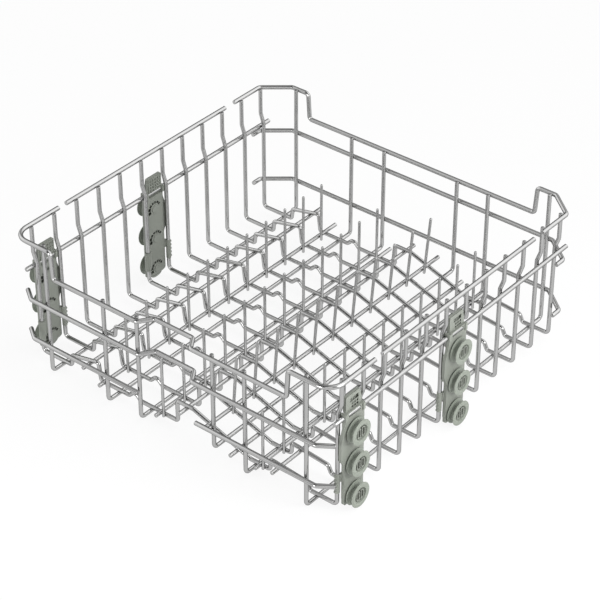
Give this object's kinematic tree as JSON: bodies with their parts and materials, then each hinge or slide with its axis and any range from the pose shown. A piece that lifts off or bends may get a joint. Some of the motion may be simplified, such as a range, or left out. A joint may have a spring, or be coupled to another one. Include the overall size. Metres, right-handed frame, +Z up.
{
  "type": "dishwasher basket",
  "caption": "Upper dishwasher basket of welded, coated wire with a stepped floor, rows of tines, dipped end rims and clip-on roller brackets at both sides.",
  "frame": {"origin": "middle of the footprint, on the plane that the long floor wires stand on", "axes": "+Z up; X runs along the end walls; Y runs along the side walls and the runners, with the recess for the feed pipe at -Y"},
  "size_m": [0.52, 0.5048, 0.1976],
  "materials": {
    "coated_wire": "satin",
    "bracket_plastic": "satin",
    "roller_plastic": "satin"
  },
  "bodies": {
    "basket": {"bracket_middle_left": "bracket_plastic", "bracket_middle_right": "bracket_plastic", "bracket_near_left": "bracket_plastic", "bracket_near_right": "bracket_plastic", "cross_wire_01": "coated_wire", "cross_wire_02": "coated_wire", "cross_wire_03": "coated_wire", "cross_wire_04": "coated_wire", "cross_wire_05": "coated_wire", "cross_wire_06": "coated_wire", "cross_wire_07": "coated_wire", "cross_wire_08": "coated_wire", "cross_wire_09": "coated_wire", "cross_wire_10": "coated_wire", "cross_wire_11": "coated_wire", "cross_wire_12": "coated_wire", "far_rail_lower": "coated_wire", "far_rail_upper": "coated_wire", "far_rim": "coated_wire", "floor_rail_1": "coated_wire", "floor_rail_2": "coated_wire", "floor_rail_3": "coated_wire", "floor_rail_4": "coated_wire", "long_wire_1": "coated_wire", "long_wire_2": "coated_wire", "long_wire_3": "coated_wire", "long_wire_4": "coated_wire", "long_wire_5": "coated_wire", "long_wire_6": "coated_wire", "near_low_rail_left": "coated_wire", "near_low_rail_right": "coated_wire", "near_rail": "coated_wire", "near_rim": "coated_wire", "side_rail_left": "coated_wire", "side_rail_right": "coated_wire", "tine_bar_1": "coated_wire", "tine_bar_2": "coated_wire", "tine_bar_3": "coated_wire", "tine_bar_4": "coated_wire", "tine_row_1": "coated_wire", "tine_row_2": "coated_wire", "tine_row_3": "coated_wire", "tine_row_4": "coated_wire", "top_rail_left": "coated_wire", "top_rail_right": "coated_wire"},
    "roller_middle_high_left": {"roller_middle_high_left": "roller_plastic"},
    "roller_middle_high_right": {"roller_middle_high_right": "roller_plastic"},
    "roller_middle_low_left": {"roller_middle_low_left": "roller_plastic"},
    "roller_middle_low_right": {"roller_middle_low_right": "roller_plastic"},
    "roller_middle_middle_left": {"roller_middle_middle_left": "roller_plastic"},
    "roller_middle_middle_right": {"roller_middle_middle_right": "roller_plastic"},
    "roller_near_high_left": {"roller_near_high_left": "roller_plastic"},
    "roller_near_high_right": {"roller_near_high_right": "roller_plastic"},
    "roller_near_low_left": {"roller_near_low_left": "roller_plastic"},
    "roller_near_low_right": {"roller_near_low_right": "roller_plastic"},
    "roller_near_middle_left": {"roller_near_middle_left": "roller_plastic"},
    "roller_near_middle_right": {"roller_near_middle_right": "roller_plastic"}
  },
  "joints": [
    {"name": "roller_middle_high_left_spin", "type": "hinge", "parent": "basket", "child": "roller_middle_high_left", "pos_m": [-0.25465, -0.00375, 0.1131], "axis": [1, 0, 0], "continuous": true},
    {"name": "roller_middle_high_right_spin", "type": "hinge", "parent": "basket", "child": "roller_middle_high_right", "pos_m": [0.25465, -0.00375, 0.1131], "axis": [1, 0, 0], "continuous": true},
    {"name": "roller_middle_low_left_spin", "type": "hinge", "parent": "basket", "child": "roller_middle_low_left", "pos_m": [-0.25465, -0.00375, 0.0196], "axis": [1, 0, 0], "continuous": true},
    {"name": "roller_middle_low_right_spin", "type": "hinge", "parent": "basket", "child": "roller_middle_low_right", "pos_m": [0.25465, -0.00375, 0.0196], "axis": [1, 0, 0], "continuous": true},
    {"name": "roller_middle_middle_left_spin", "type": "hinge", "parent": "basket", "child": "roller_middle_middle_left", "pos_m": [-0.25465, -0.00375, 0.0666], "axis": [1, 0, 0], "continuous": true},
    {"name": "roller_middle_middle_right_spin", "type": "hinge", "parent": "basket", "child": "roller_middle_middle_right", "pos_m": [0.25465, -0.00375, 0.0666], "axis": [1, 0, 0], "continuous": true},
    {"name": "roller_near_high_left_spin", "type": "hinge", "parent": "basket", "child": "roller_near_high_left", "pos_m": [-0.25465, -0.20375, 0.1131], "axis": [1, 0, 0], "continuous": true},
    {"name": "roller_near_high_right_spin", "type": "hinge", "parent": "basket", "child": "roller_near_high_right", "pos_m": [0.25465, -0.20375, 0.1131], "axis": [1, 0, 0], "continuous": true},
    {"name": "roller_near_low_left_spin", "type": "hinge", "parent": "basket", "child": "roller_near_low_left", "pos_m": [-0.25465, -0.20375, 0.0196], "axis": [1, 0, 0], "continuous": true},
    {"name": "roller_near_low_right_spin", "type": "hinge", "parent": "basket", "child": "roller_near_low_right", "pos_m": [0.25465, -0.20375, 0.0196], "axis": [1, 0, 0], "continuous": true},
    {"name": "roller_near_middle_left_spin", "type": "hinge", "parent": "basket", "child": "roller_near_middle_left", "pos_m": [-0.25465, -0.20375, 0.0666], "axis": [1, 0, 0], "continuous": true},
    {"name": "roller_near_middle_right_spin", "type": "hinge", "parent": "basket", "child": "roller_near_middle_right", "pos_m": [0.25465, -0.20375, 0.0666], "axis": [1, 0, 0], "continuous": true}
  ]
}
